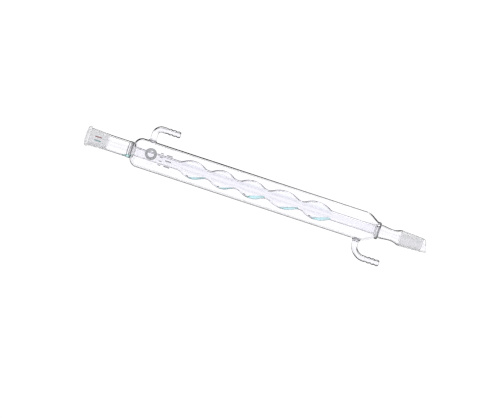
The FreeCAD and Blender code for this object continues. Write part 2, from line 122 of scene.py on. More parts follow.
# socket: its outside, and the radius of its bead's curve as a share of the bead's height
SOCKET_MOUTH_RADIUS = 10.7
SOCKET_ROOT_RADIUS = 9.7
BEAD_LENGTH = 4.2
BEAD_CURVE = 1.42
MOUTH_BEVEL = 0.5

# upper seal: its floor and funnel, the length over which it is softened, and the widths of its bands of
# painted shade
SEAL_FLOOR = 1.0
FUNNEL_RADIUS = 4.4
SEAL_SOFT = 0.9
CHAMBER_BAND = 0.9
JACKET_BAND = 0.8

# the lower seal's band of painted shade stays this far from its ends
LOWER_BAND_INSET = 0.9

# jacket: radii of its shoulders, the slope of its lower end, and the stretch there with no painted dark
# edge
UPPER_SHOULDER = 10.0
LOWER_SHOULDER = 15.0
LOWER_SLOPE = 0.6
CLEAR_END = 17.0

# the jacket's faces round a foot, above this share of its radius, have no painted dark edge
NO_EDGE_SHARE = 0.8

# inner tube
TUBE_RADIUS = 5.55
UPPER_TUBE_LENGTH = 52.7
BULB_LENGTHS = (36.4, 35.4, 37.0, 40.6, 39.3)
NECK_ARC = 10.0
TUBE_STEP = 1.1

# the inner tube counts as a neck where it swells by less than this
NECK_SWELL = 1.2

# delivery tube: its waist's place is from the lower seal, and its arcs meet at these shares of the
# way to the waist and from there to the cone
DELIVERY_RADIUS = 8.3
WAIST_RADIUS = 7.0
WAIST_PLACE = 14.5
TO_WAIST_SHARE = 0.5
TO_CONE_SHARE = 0.7

# drip tip
TIP_RADIUS = 7.0
TIP_SHORT_SIDE = 3.0

# hose arms: bend radii, and how far up an arm it has no painted dark edge, and how far its painted dark
# edge is thinner than at the hose end
BEND_LIMIT = {"coolant_outlet_arm": 7.2, "coolant_inlet_arm": 14.4}
BEND_STEPS = 28
BEND_FLATTENING = 0.05
NO_EDGE_ARM_SHARE = 0.45
THIN_EDGE_ARM_SHARE = 0.78

# feet and hose ends
FOOT_LIP = 0.25
FLARE_STEPS = 14
DRILL_DEPTH = 8.0
VALLEY_RADIUS = 3.2
HOSE_COLLAR = 2.4
HOSE_BARBS = 3
BARB_STEPS = 14
BARB_FULLNESS = 0.75

# a hose end's fire-polished mouth: how far back and how far in its outside's corners are, and how
# far back and how far out its bore's
MOUTH_LIP = ((0.4, 0.0), (0.1, 0.2), (0.0, 0.5))
MOUTH_FLARE = ((0.3, 0.0), (0.05, 0.15))

# fused pieces run into each other by this much, so that no gap shows at a weld
WELD = 0.12

# how far tubing and bulbs stray from round
DRAWN_STRAY = 0.018
BULB_LEAN = 0.10
BULB_OVAL = 0.06

# condensate: how far each bulb's pool stands above its lip, the length of the drop above it, which
# may be none, and how far the drop runs into the pool. The chamber's pool stays below its lip.
POOL_SWELLS = (1.0, 0.2, 2.3, 1.8, 2.3)
DROP_LENGTHS = (3.8, 2.6, 4.0, 0.0, 3.8)
DROP_OVERLAP = 0.3
CHAMBER_SWELL = -0.3

# a swollen pool's front is rounded over this length, of which this share stands past the lip
FRONT_LENGTH = 3.4
PAST_LIP_SHARE = 0.6
DROP_HEIGHT = 1.6
DROP_HALF_WIDTH = 1.8

# liquid reaches this far into the glass, so that no gap shows, and is nowhere thinner than the last
LIQUID_SINK = WELD / 2
LIQUID_THINNEST = 0.01

# in use the axis slopes down by this much towards the cone, and the pools lie level
WORKING_SLOPE = math.radians(18.15)

# ---------------------------------------------------------------- fineness of the meshes

JACKET_SIDES = 160
JOINT_SIDES = 128
TUBING_SIDES = 112
INNER_TUBE_SIDES = 96
TIP_SIDES = 96
FLOOR_SIDES = 96
ARM_SIDES = 64
FOOT_SIDES = 72
DRILL_SIDES = 48

# longest stretch between two points of an outline, in millimetres
TUBING_STEP = 4.0
JACKET_STEP = 2.5
JOINT_STEP = 2.0
SEAL_STEP = 1.0
TIP_STEP = 0.8

ARC_STEP = math.radians(5)
FUNNEL_STEP = math.radians(1)
SHARP_ANGLE = math.radians(38)

# points across half of a liquid's cross-section, and cross-sections along it
RIBS = 16
POOL_SECTIONS = 40
DROP_SECTIONS = 16

# a pool's upper end is looked for in steps of this length, so many of them at the most
SCAN_STEP = 0.05
SCAN_STEPS = 500

# places in a piece's list of materials: its outside, its bore, and a second and third glass outside
OUTSIDE, BORE, SECOND, THIRD = range(4)


# ---------------------------------------------------------------- outlines

def arc_points(start, end, radius, bow, step=ARC_STEP):
    """Points along the minor arc after start, up to end. bow is +1 where it bows to the left of the
    way, and -1 where it bows to the right."""
    start, end = Vector(start), Vector(end)
    chord = end - start
    left = Vector((-chord.y, chord.x)).normalized()
    centre = (start + end) / 2 - left * bow * math.sqrt(radius ** 2 - (chord.length / 2) ** 2)
    first, last = start - centre, end - centre
    turn = first.angle_signed(last)
    count = max(2, math.ceil(abs(turn) / step))
    points = []
    for i in range(1, count + 1):
        angle = math.atan2(first.y, first.x) - turn * i / count
        points.append((centre.x + radius * math.cos(angle), centre.y + radius * math.sin(angle)))
    return points


def outline(path, step=TUBING_STEP):
    """Sample a path of corners. A corner is (x, r), or (x, r, radius, bow) where an arc leads to it."""
    points = [path[0][:2]]
    for corner in path[1:]:
        start, end = points[-1], corner[:2]
        if len(corner) == 4:
            points += arc_points(start, end, corner[2], corner[3])
            continue
        count = max(1, math.ceil(math.dist(start, end) / step))
        for i in range(1, count + 1):
            share = i / count
            x = start[0] + (end[0] - start[0]) * share
            r = start[1] + (end[1] - start[1]) * share
            points.append((x, r))
    return points


def eased(start, start_out, end, end_out, share):
    """Two tangent arcs that leave and arrive along the axis and meet at a share of the way."""
    run, rise = end - start, end_out - start_out
    both_arcs = (run ** 2 + rise ** 2) / (2 * abs(rise))
    bow = -1 if rise > 0 else 1
    return [
        (start + run * share, start_out + rise * share, both_arcs * share, bow),
        (end, end_out, both_arcs * (1 - share), -bow),
    ]


def drawn(x, angle):
    """How a drawn tube strays from round: slow waves along it and around it, never outwards of its
    size, since 3.5 is the most that they add up to."""
    along = math.sin(x * 0.061) + math.sin(x * 0.143 + 1.3)
    around = math.sin(2 * angle + x * 0.011) + 0.5 * math.sin(3 * angle + 0.8 - x * 0.017)
    return -DRAWN_STRAY * (3.5 + along + around)


def blown(x, angle):
    """A hand-blown bulb strays more: its sides differ a little."""
    lean = BULB_LEAN * math.sin(angle + x * 0.05)
    oval = BULB_OVAL * math.sin(2 * angle - x * 0.09 + 0.6)
    return lean + oval - (BULB_LEAN + BULB_OVAL)


def still(x, angle):
    """Ground joints, seals and hose ends are round."""
    return 0.0


# ---------------------------------------------------------------- meshes

def finish_piece(name, mesh, node, materials):
    """Turn a bmesh into a shown piece that stands for a CAD node, or only adds to it where node is
    None."""
    bmesh.ops.recalc_face_normals(mesh, faces=mesh.faces)
    data = bpy.data.meshes.new(name)
    mesh.to_mesh(data)
    mesh.free()
    data.shade_smooth()
    data.set_sharp_from_angle(angle=SHARP_ANGLE)
    for material in materials:
        data.materials.append(material)
    piece = bpy.data.objects.new(name, data)
    bpy.context.scene.collection.objects.link(piece)
    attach(piece, BODY)
    if node:
        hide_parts(node)
    return piece


def lathe(outside, bore, sides, strays=still, height=0.0):
    """Turn a wall around an axis along X at the given height."""
    loop = outside + bore[::-1]
    in_bore = range(len(outside), len(loop) - 1)
    mesh = bmesh.new()
    rings = []
    for side in range(sides):
        angle = 2 * math.pi * side / sides
        ring = []
        for x, r in loop:
            radius = r + strays(x, angle)
            across, up = radius * math.cos(angle), height + radius * math.sin(angle)
            ring.append(mesh.verts.new((x * MM, across * MM, up * MM)))
        rings.append(ring)
    for side in range(sides):
        here, following = rings[side], rings[(side + 1) % sides]
        for i in range(len(loop)):
            j = (i + 1) % len(loop)
            face = mesh.faces.new((here[i], here[j], following[j], following[i]))
            face.material_index = BORE if i in in_bore else OUTSIDE
    return mesh


def join(mesh, here, following, material=OUTSIDE):
    """Faces between two rings of points."""
    for side in range(len(here)):
        after = (side + 1) % len(here)
        face = mesh.faces.new((here[side], here[after], following[after], following[side]))
        face.material_index = material


def sweep(route, outer, inner, sides):
    """A tube in the plane of the arms, along a route of (x, z, heading, flat) stations. flat is the
    share by which the tube is flattened there."""
    mesh = bmesh.new()
    layers = []
    for radius in (outer, inner):
        rings = []
        for x, z, heading, flat in route:
            out = Vector((-math.sin(heading), 0, math.cos(heading)))
            ring = []
            for side in range(sides):
                angle = 2 * math.pi * side / sides
                outwards = out * (radius * (1 - flat) * math.cos(angle))
                sideways = Vector((0, radius * math.sin(angle), 0))
                ring.append(mesh.verts.new((Vector((x, 0, z)) + (outwards + sideways)) * MM))
            rings.append(ring)
        layers.append(rings)
    for material, rings in zip((OUTSIDE, BORE), layers):
        for here, following in zip(rings, rings[1:]):
            join(mesh, here, following, material)
    join(mesh, layers[0][0], layers[1][0])
    join(mesh, layers[0][-1], layers[1][-1])
    return mesh


def middle(face):
    return face.calc_center_median() / MM


def recolour(mesh, material, chosen):
    """Give another material to those faces of the outside whose middle is chosen."""
    for face in mesh.faces:
        if face.material_index == OUTSIDE and chosen(middle(face)):
            face.material_index = material


def band(mesh, start, end, material):
    """Give the outside another material between two places along the axis."""
    recolour(mesh, material, lambda place: start < place.x < end)


# ---------------------------------------------------------------- materials

GLASS_IOR = 1.473
LIQUID_IOR = 1.34

# colours, each a pair that a material's noise wanders between
CLEAR_TINTS = ((0.966, 0.960, 0.990), (0.985, 0.982, 0.998))
SEAL_TINTS = ((0.93, 0.93, 0.95), (0.98, 0.98, 0.99))
# painted shade: near-black glass for the dark bands at the ring seals' welds
SEAL_SHADE_TINTS = ((0.12, 0.125, 0.14), (0.26, 0.27, 0.29))
GROUND_TINTS = ((0.78, 0.785, 0.80), (0.87, 0.875, 0.885))
POOL_TINTS = ((0.50, 0.85, 0.82), (0.62, 0.90, 0.87))
# painted shade: the drops are tinted near-black, far darker than the pools' liquid
DROP_SHADE_TINTS = ((0.05, 0.13, 0.13), (0.12, 0.24, 0.24))
GREY_ENAMEL = ((0.52, 0.53, 0.56), (0.33, 0.34, 0.36))
TEAL_ENAMEL = ((0.30, 0.44, 0.45), (0.16, 0.30, 0.32))
RED_ENAMEL = ((0.46, 0.24, 0.25), (0.30, 0.13, 0.14))
FLOOR_TINTS = ((0.77, 0.77, 0.77), (0.80, 0.80, 0.80))

# painted shade: the near-black that a piece's colour fades to at its outline, where the eye looks along
# the wall
PAINTED_EDGE_SHADE = (0.006, 0.006, 0.008)

# a noise's stretch: the same all ways, or in waves longer along the axis than around it
EVEN = (1, 1, 1)
ALONG = (0.6, 1, 1)


def new_material(name):
    material = bpy.data.materials.new(name)
    material.use_nodes = True
    nodes, links = material.node_tree.nodes, material.node_tree.links
    nodes.clear()
    output = nodes.new("ShaderNodeOutputMaterial")
    shader = nodes.new("ShaderNodeBsdfPrincipled")
    links.new(shader.outputs["BSDF"], output.inputs["Surface"])
    return material, nodes, links, shader


def stretched_noise(nodes, links, stretch, scale, detail=3.0):
    """Noise in the object's own coordinates."""
    place = nodes.new("ShaderNodeTexCoord")
    mapping = nodes.new("ShaderNodeMapping")
    mapping.inputs["Scale"].default_value = stretch
    noise = nodes.new("ShaderNodeTexNoise")
    noise.inputs["Scale"].default_value = scale
    noise.inputs["Detail"].default_value = detail
    links.new(place.outputs["Object"], mapping.inputs["Vector"])
    links.new(mapping.outputs["Vector"], noise.inputs["Vector"])
    return noise.outputs["Fac"]


def blended(nodes, links, factor, first, second):
    """Colour between two others, each of them a plain colour or a node's output."""
    mix = nodes.new("ShaderNodeMix")
    mix.data_type = "RGBA"
    links.new(factor, mix.inputs["Factor"])
    for name, colour in (("A", first), ("B", second)):
        if isinstance(colour, tuple):
            mix.inputs[name].default_value = (*colour, 1)
        else:
            links.new(colour, mix.inputs[name])
    return mix.outputs["Result"]


def painted_edge_mask(nodes, links, start, end):
    """Mask of a painted dark edge: 0 where the glass faces the eye, 1 where it turns away and the eye
    looks along the wall.
    """
    weight = nodes.new("ShaderNodeLayerWeight")
    ranged = nodes.new("ShaderNodeMapRange")
    ranged.interpolation_type = "SMOOTHSTEP"
    ranged.inputs["From Min"].default_value = start
    ranged.inputs["From Max"].default_value = end
    links.new(weight.outputs["Facing"], ranged.inputs["Value"])
    return ranged.outputs["Result"]


def spread(nodes, links, factor, low, high, socket):
    """Spread a noise, which stays mostly between 0.3 and 0.7, from low to high."""
    ranged = nodes.new("ShaderNodeMapRange")
    ranged.inputs["From Min"].default_value = 0.3
    ranged.inputs["From Max"].default_value = 0.7
    ranged.inputs["To Min"].default_value = low
    ranged.inputs["To Max"].default_value = high
    links.new(factor, ranged.inputs["Value"])
    links.new(ranged.outputs["Result"], socket)


def relief(nodes, links, factor, strength, distance, shader):
    bump = nodes.new("ShaderNodeBump")
    bump.inputs["Strength"].default_value = strength
    bump.inputs["Distance"].default_value = distance
    links.new(factor, bump.inputs["Height"])
    links.new(bump.outputs["Normal"], shader.inputs["Normal"])


def glass(name, tints, rough, stretch, scale, bump, edge=None):
    """Borosilicate glass: a faint tint that varies, slight draw lines, a hint of handling marks. rough
    is the lowest and highest roughness, bump a strength and distance, and edge where a painted dark
    edge starts and ends, from 0 where the glass faces the eye to 1 at its outline: there the colour
    fades to near-black, painted shade that stands in for the dark surroundings seen in the glass."""
    material, nodes, links, shader = new_material(name)
    shader.inputs["Transmission Weight"].default_value = 1.0
    shader.inputs["IOR"].default_value = GLASS_IOR
    waves = stretched_noise(nodes, links, stretch, scale)
    colour = blended(nodes, links, waves, *tints)
    # painted shade: the colour fades to near-black towards the outline
    if edge:
        colour = blended(nodes, links, painted_edge_mask(nodes, links, *edge), colour, PAINTED_EDGE_SHADE)
    links.new(colour, shader.inputs["Base Color"])
    spread(nodes, links, waves, *rough, shader.inputs["Roughness"])
    relief(nodes, links, waves, *bump, shader)
    return material


def tubing(name, edge=None):
    """Glass as it was drawn, with its lines along the axis."""
    return glass(name, CLEAR_TINTS, (0.0, 0.012), ALONG, 70, (0.05, 0.0001), edge)


def worked(name, edge=None):
    """Clear glass that was worked in the flame, wavy all ways."""
    return glass(name, CLEAR_TINTS, (0.0, 0.012), EVEN, 260, (0.10, 0.0001), edge)


def condensate(name, tints):
    material, nodes, links, shader = new_material(name)
    shader.inputs["Transmission Weight"].default_value = 1.0
    shader.inputs["IOR"].default_value = LIQUID_IOR
    shader.inputs["Roughness"].default_value = 0.0
    waves = stretched_noise(nodes, links, EVEN, 300)
    links.new(blended(nodes, links, waves, *tints), shader.inputs["Base Color"])
    return material


def enamel(name, tones, upper=None):
    """Fired print, in two tones where it lies thin and thick. upper is another such pair, for what
    is printed above the axis."""
    material, nodes, links, shader = new_material(name)
    grain = stretched_noise(nodes, links, EVEN, 900, 6.0)
    colour = blended(nodes, links, grain, *tones)
    if upper:
        place = nodes.new("ShaderNodeTexCoord")
        split = nodes.new("ShaderNodeSeparateXYZ")
        above = nodes.new("ShaderNodeMath")
        above.operation = "GREATER_THAN"
        above.inputs[1].default_value = 0.0
        links.new(place.outputs["Object"], split.inputs["Vector"])
        links.new(split.outputs["Z"], above.inputs[0])
        upper_colour = blended(nodes, links, grain, *upper)
        colour = blended(nodes, links, above.outputs["Value"], colour, upper_colour)
    links.new(colour, shader.inputs["Base Color"])
    spread(nodes, links, grain, 0.45, 0.7, shader.inputs["Roughness"])
    relief(nodes, links, grain, 0.4, 0.00003, shader)
    return material


# the sooner a piece's painted dark edge starts, the thicker the band of painted shade along its outline
CLEAR = tubing("clear_bore")
WALL = tubing("clear_borosilicate", (0.55, 0.73))
BLOWN = tubing("blown_borosilicate", (0.54, 0.82))
DRAWN = tubing("drawn_borosilicate", (0.42, 0.68))
WAIST = tubing("waisted_borosilicate", (0.30, 0.56))
THICK = worked("thick_walled_tube", (0.15, 0.35))
FUSED = worked("foot_glass")
SEAL = glass("fused_seal_glass", SEAL_TINTS, (0.0, 0.02), EVEN, 240, (0.16, 0.0002), (0.46, 0.74))
SEAL_SHADE = glass("ring_seal_glass", SEAL_SHADE_TINTS, (0.0, 0.03), EVEN, 300, (0.35, 0.0002), (0.30, 0.66))
GROUND = glass("ground_glass", GROUND_TINTS, (0.42, 0.55), EVEN, 1500, (0.10, 0.00003))
TEAL = condensate("teal_condensate", POOL_TINTS)
SHADED_DROP = condensate("drop_painted_shade", DROP_SHADE_TINTS)
GREY_PRINT = enamel("grey_enamel", GREY_ENAMEL)
SOCKET_PRINT = enamel("socket_enamel", TEAL_ENAMEL, RED_ENAMEL)


# ---------------------------------------------------------------- upper end

def socket():
    """Ground socket: clear outside and bead, frosted bore."""
    mouth = CONE_RADIUS
    bead_arc = (BEAD_RADIUS - SOCKET_MOUTH_RADIUS) * BEAD_CURVE
    face_lean, face_edge = 0.1, 0.2
    run_out, run_out_fall, run_out_arc = 1.4, 0.18, 2.2
    bevel_start, bevel_rise = 0.25, 0.2
    bevel_end, taper_fall = 0.4, 0.03
    outside = outline([
        (SOCKET_START, mouth + MOUTH_BEVEL),
        (SOCKET_START + face_lean, SOCKET_MOUTH_RADIUS - face_edge),
        (BEAD_LENGTH, SOCKET_MOUTH_RADIUS, bead_arc, 1),
        (BEAD_LENGTH + run_out, SOCKET_MOUTH_RADIUS - run_out_fall, run_out_arc, -1),
        (SOCKET_END + WELD, SOCKET_ROOT_RADIUS),
    ], JOINT_STEP)
    bore = outline([
        (SOCKET_START + bevel_start, mouth + bevel_rise),
        (MOUTH_BEVEL + bevel_end, mouth - taper_fall),
        (SOCKET_END + WELD, CONE_END_RADIUS),
    ], JOINT_STEP)
    mesh = lathe(outside, bore, JOINT_SIDES)
    finish_piece("socket_joint_glass", mesh, "socket_joint", [CLEAR, GROUND])


def chamber():
    inside = CHAMBER_RADIUS - CHAMBER_WALL
    start, end = SOCKET_END - WELD, CHAMBER_END + WELD
    outside = outline([(start, CHAMBER_RADIUS), (end, CHAMBER_RADIUS)])
    bore = outline([(start, inside), (end, inside)])
    mesh = lathe(outside, bore, TUBING_SIDES, drawn)
    finish_piece("vapour_chamber_glass", mesh, "vapour_chamber", [DRAWN, CLEAR])


def upper_seal():
    """Thick ring, softened where the glass has run, with the funnel that leads into the inner tube.
    Both welds carry a dark band of painted shade."""
    inside = CHAMBER_RADIUS - CHAMBER_WALL
    tube_inside = TUBE_RADIUS - TUBE_WALL
    mouth = UPPER_SEAL_RADIUS - JACKET_WALL
    swell_arc, run_out_arc = 1.9, 1.6
    weld_fall, middle_fall, run_out_fall = 0.15, 0.1, 0.5
    outside = outline([
        (CHAMBER_END, CHAMBER_RADIUS - weld_fall),
        (CHAMBER_END + SEAL_SOFT, UPPER_SEAL_RADIUS, swell_arc, 1),
        (JACKET_START - SEAL_SOFT, UPPER_SEAL_RADIUS - middle_fall),
        (JACKET_START + WELD, UPPER_SEAL_RADIUS - run_out_fall, run_out_arc, 1),
        (JACKET_START + WELD, mouth),
        (INNER_START + WELD, TUBE_RADIUS, INNER_START - JACKET_START, -1),
    ], SEAL_STEP)
    bore = outline([
        (CHAMBER_END, inside),
        (CHAMBER_END + SEAL_FLOOR, inside),
        (JACKET_START, tube_inside, FUNNEL_RADIUS, 1),
        (INNER_START + WELD, tube_inside),
    ], SEAL_STEP)
    mesh = lathe(outside, bore, TUBING_SIDES)
    # bands of painted shade at both welds
    band(mesh, CHAMBER_END, CHAMBER_END + CHAMBER_BAND, SECOND)
    band(mesh, JACKET_START - JACKET_BAND, JACKET_START, SECOND)
    glasses = [SEAL, CLEAR, SEAL_SHADE]
    finish_piece("upper_ring_seal_glass", mesh, "upper_ring_seal", glasses)


# ---------------------------------------------------------------- jacket and inner tube

def jacket_surface(depth):
    """Outside of the jacket, or its inside where depth is the wall."""
    upper_out = JACKET_RADIUS - UPPER_SHOULDER
    upper_rise = UPPER_SEAL_RADIUS - upper_out
    upper_centre = JACKET_START + math.sqrt(UPPER_SHOULDER ** 2 - upper_rise ** 2)
    upper_arc = UPPER_SHOULDER - depth
    mouth_out = UPPER_SEAL_RADIUS - depth
    mouth = upper_centre - math.sqrt(upper_arc ** 2 - (mouth_out - upper_out) ** 2)
    slant = math.sqrt(1 + LOWER_SLOPE ** 2)
    fall = 1 - 1 / slant
    cone_run = (JACKET_RADIUS - LOWER_SHOULDER * fall - LOWER_SEAL_RADIUS) / LOWER_SLOPE
    lower_centre = JACKET_END - cone_run - LOWER_SHOULDER * LOWER_SLOPE / slant
    lower_arc = LOWER_SHOULDER - depth
    radius = JACKET_RADIUS - depth
    return [
        (mouth, mouth_out),
        (upper_centre, radius, upper_arc, 1),
        (lower_centre, radius),
        (lower_centre + lower_arc * LOWER_SLOPE / slant, radius - lower_arc * fall, lower_arc, 1),
        (JACKET_END, LOWER_SEAL_RADIUS - depth * slant),
    ]


def jacket():
    """Its lower end, and its surface round a foot, have no painted dark edge: they take the plain clear
    glass.
    """
    outside = outline(jacket_surface(0.0), JACKET_STEP)
    mouth = (JACKET_START, UPPER_SEAL_RADIUS - JACKET_WALL)
    inside = outline([mouth] + jacket_surface(JACKET_WALL), JACKET_STEP)
    mesh = lathe(outside, inside, JACKET_SIDES, drawn)
    feet = ((foot_place("outlet_foot"), 1), (foot_place("inlet_foot"), -1))
    for x, side in feet:
        keep_painted_edge_off_foot(mesh, x, side)
    band(mesh, JACKET_END - CLEAR_END, JACKET_END, BORE)
    piece = finish_piece("water_jacket_glass", mesh, "water_jacket", [WALL, CLEAR])
    for x, side in feet:
        drill(piece, x, side)


# the painted dark edge is left off the jacket's faces round a foot
def keep_painted_edge_off_foot(mesh, x, side):
    def near_foot(place):
        return abs(place.x - x) < FOOT_RADIUS and side * place.z > NO_EDGE_SHARE * JACKET_RADIUS

    recolour(mesh, BORE, near_foot)


def drill(piece, x, side):
    """Open the wall under a hose arm's foot."""
    radius, depth = ARM_BORE * MM, DRILL_DEPTH * MM
    mesh = bmesh.new()
    bmesh.ops.create_cone(
        mesh, cap_ends=True, segments=DRILL_SIDES, radius1=radius, radius2=radius, depth=depth
    )
    bmesh.ops.translate(mesh, verts=mesh.verts, vec=Vector((x, 0, side * JACKET_RADIUS)) * MM)
    data = bpy.data.meshes.new("drill")
    mesh.to_mesh(data)
    mesh.free()
    cutter = bpy.data.objects.new("drill", data)
    bpy.context.scene.collection.objects.link(cutter)
    hole = piece.modifiers.new("hole", "BOOLEAN")
    hole.operation = "DIFFERENCE"
    hole.solver = "EXACT"
    hole.object = cutter
    bpy.context.view_layer.update()
    evaluated = piece.evaluated_get(bpy.context.evaluated_depsgraph_get())
    opened = bpy.data.meshes.new_from_object(evaluated)
    piece.modifiers.clear()
    piece.data = opened
    bpy.data.objects.remove(cutter)
    opened.set_sharp_from_angle(angle=SHARP_ANGLE)


def bulb_starts():
    """Each bulb's first neck and its length."""
    start = INNER_START + UPPER_TUBE_LENGTH
    for length in BULB_LENGTHS:
        yield start, length
        start += length


def tube_radius(x, depth=0.0):
    """Radius of the inner tube's outside at x, or of its bore where depth is the wall."""
    for start, length in bulb_starts():
        if start <= x <= start + length:
            half = length / 2
            bulge = BULB_RADIUS - TUBE_RADIUS
            centres_apart = (half ** 2 + bulge ** 2) / (2 * bulge)
            bulb_arc = centres_apart - NECK_ARC
            off_middle = abs(x - start - half)
            if off_middle <= half * (bulb_arc - depth) / centres_apart:
                rise = math.sqrt((bulb_arc - depth) ** 2 - off_middle ** 2)
                return BULB_RADIUS - bulb_arc + rise
            fall = math.sqrt((NECK_ARC + depth) ** 2 - (half - off_middle) ** 2)
            return TUBE_RADIUS + NECK_ARC - fall
    return TUBE_RADIUS - depth


def bulb_tube():
    """Inner tube. Its necks and straight ends have drawn tubing's painted dark edge, its bulbs a
    fainter one.
    """
    start, end = INNER_START - WELD, INNER_END + WELD
    count = round((end - start) / TUBE_STEP)
    places = [start + (end - start) * i / count for i in range(count + 1)]
    outside = [(x, tube_radius(x)) for x in places]
    bore = [(x, tube_radius(x, TUBE_WALL)) for x in places]
    mesh = lathe(outside, bore, INNER_TUBE_SIDES, blown)
    recolour(mesh, SECOND, lambda place: tube_radius(place.x) < TUBE_RADIUS + NECK_SWELL)
    finish_piece("bulb_tube_glass", mesh, "bulb_tube", [BLOWN, CLEAR, DRAWN])


# ---------------------------------------------------------------- lower end

def lower_seal():
    """Thick ring that closes the jacket, swollen where the three tubes were fused, and darkened there
    by a band of painted shade.
    """
    slant = math.sqrt(1 + LOWER_SLOPE ** 2)
    mouth = LOWER_SEAL_RADIUS - JACKET_WALL * slant
    inner_arc, swell_arc, run_out_arc = 9.0, 2.6, 2.4
    weld_fall, run_out, run_out_fall = 0.4, 0.6, 0.5
    outside = outline([
        (INNER_END - WELD, TUBE_RADIUS),
        (JACKET_END - WELD, mouth, inner_arc, -1),
        (JACKET_END - WELD, LOWER_SEAL_RADIUS - weld_fall),
        (LOWER_SEAL_END - run_out, LOWER_SEAL_RADIUS - run_out_fall, swell_arc, 1),
        (LOWER_SEAL_END + WELD, DELIVERY_RADIUS, run_out_arc, 1),
    ], SEAL_STEP)
    bore = outline([
        (INNER_END - WELD, TUBE_RADIUS - TUBE_WALL),
        (LOWER_SEAL_END + WELD, DELIVERY_RADIUS - DELIVERY_WALL),
    ], SEAL_STEP)
    mesh = lathe(outside, bore, TUBING_SIDES)
    # a band of painted shade where the three tubes were fused
    band(mesh, JACKET_END + LOWER_BAND_INSET, LOWER_SEAL_END - LOWER_BAND_INSET, SECOND)
    glasses = [FUSED, CLEAR, SEAL_SHADE]
    finish_piece("lower_ring_seal_glass", mesh, "lower_ring_seal", glasses)


def delivery():
    """Waisted tube between the lower seal and the cone."""
    start, end = LOWER_SEAL_END - WELD, CONE_START + WELD
    waist = LOWER_SEAL_END + WAIST_PLACE

    def surface(depth):
        upper, narrow, lower = DELIVERY_RADIUS - depth, WAIST_RADIUS - depth, CONE_RADIUS - depth
        path = [(start, upper)]
        path += eased(start, upper, waist, narrow, TO_WAIST_SHARE)
        path += eased(waist, narrow, end, lower, TO_CONE_SHARE)
        return outline(path)

    mesh = lathe(surface(0.0), surface(DELIVERY_WALL), TUBING_SIDES, drawn)
    finish_piece("delivery_tube_glass", mesh, "delivery_tube", [WAIST, CLEAR])


def cone():
    """Ground cone: frosted outside, clear bore."""
    edge, edge_fall = 0.3, 0.05
    outside = outline([
        (CONE_START - WELD, CONE_RADIUS - edge_fall),
        (CONE_START + edge, CONE_RADIUS),
        (CONE_END, CONE_END_RADIUS),
    ], JOINT_STEP)
    bore = outline([
        (CONE_START - WELD, CONE_RADIUS - CONE_WALL),
        (CONE_END, CONE_END_RADIUS - CONE_WALL),
    ], JOINT_STEP)
    mesh = lathe(outside, bore, JOINT_SIDES)
    finish_piece("cone_joint_glass", mesh, "cone_joint", [GROUND, CLEAR])


def drip_tip():
    """Oblique end: the outline is turned, and then its far points are drawn back towards the upper
    side."""
    lip, lip_fall, flare = 0.5, 0.4, 0.2
    outside = outline([
        (CONE_END - WELD, CONE_END_RADIUS),
        (TIP_END - lip, TIP_RADIUS),
        (TIP_END, TIP_RADIUS - lip_fall),
    ], TIP_STEP)
    bore = outline([
        (CONE_END - WELD, CONE_END_RADIUS - CONE_WALL),
        (TIP_END, TIP_RADIUS - CONE_WALL + flare),
    ], TIP_STEP)
    mesh = lathe(outside, bore, TIP_SIDES)
    long_side = TIP_END - CONE_END
    for vert in mesh.verts:
        along = max(0.0, vert.co.x / MM - CONE_END) / long_side
        upward = 0.5 + 0.5 * vert.co.z / MM / TIP_RADIUS
        setback = (long_side - TIP_SHORT_SIDE) * upward
        vert.co.x -= along * setback * MM
    finish_piece("drip_tip_glass", mesh, "drip_tip", [WALL, CLEAR])


# ---------------------------------------------------------------- hose arms

def foot(name, node, side):
    """Flare of a hose arm, run out onto the jacket's curve as fused glass does."""
    x = foot_place(node)
    rise = reach(node) - JACKET_RADIUS
    mesh = bmesh.new()

    def ring(radius, lift, settle):
        """settle is 0 on the jacket's curve and 1 in the flat plane of the arm's end."""
        verts = []
        for i in range(FOOT_SIDES):
            angle = 2 * math.pi * i / FOOT_SIDES
            along, across = radius * math.cos(angle), radius * math.sin(angle)
            curve = math.sqrt(JACKET_RADIUS ** 2 - across ** 2)
            up = curve + (JACKET_RADIUS - curve) * settle + lift
            verts.append(mesh.verts.new(Vector((x + along, across, side * up)) * MM))
        return verts

    rings = [ring(ARM_BORE, -WELD, 0.0), ring(FOOT_RADIUS - FOOT_LIP, -WELD, 0.0)]
    for i in range(FLARE_STEPS + 1):
        turn = math.pi / 2 * i / FLARE_STEPS
        radius = FOOT_RADIUS - (FOOT_RADIUS - ARM_RADIUS) * math.sin(turn)
        rings.append(ring(radius, (rise + WELD) * (1 - math.cos(turn)), math.sin(turn) ** 2))
    rings.append(ring(ARM_BORE, rise + WELD, 1.0))
    for here, following in zip(rings, rings[1:] + rings[:1]):
        join(mesh, here, following)
    finish_piece(name, mesh, node, [FUSED])


def arm(name, node, foot_node, side):
    """Bent side tube, a little flattened in its bend."""
    start_x = foot_place(foot_node)
    start_z = reach(foot_node)
    centre_z = reach(node) - ARM_RADIUS
    end_x = span(node)[1]
    bend = min(centre_z - start_z, BEND_LIMIT[node])
    route = [(start_x, side * (start_z - WELD), side * math.pi / 2, 0.0)]
    for i in range(BEND_STEPS + 1):
        turn = math.pi / 2 * i / BEND_STEPS
        route.append((
            start_x + bend * (1 - math.cos(turn)),
            side * (centre_z - bend + bend * math.sin(turn)),
            side * (math.pi / 2 - turn),
            BEND_FLATTENING * math.sin(2 * turn),
        ))
    route.append((end_x + WELD, side * centre_z, 0.0, 0.0))
    mesh = sweep(route, ARM_RADIUS, ARM_BORE, ARM_SIDES)
    # painted shade: no dark edge near the foot, a thinner one partway up, the full one towards the hose
    # end
    for material, share in ((SECOND, NO_EDGE_ARM_SHARE), (THIRD, THIN_EDGE_ARM_SHARE)):
        limit = start_z + share * (centre_z - start_z)
        recolour(mesh, material, lambda place: abs(place.z) < limit)
    finish_piece(name, mesh, node, [THICK, CLEAR, DRAWN, WAIST])


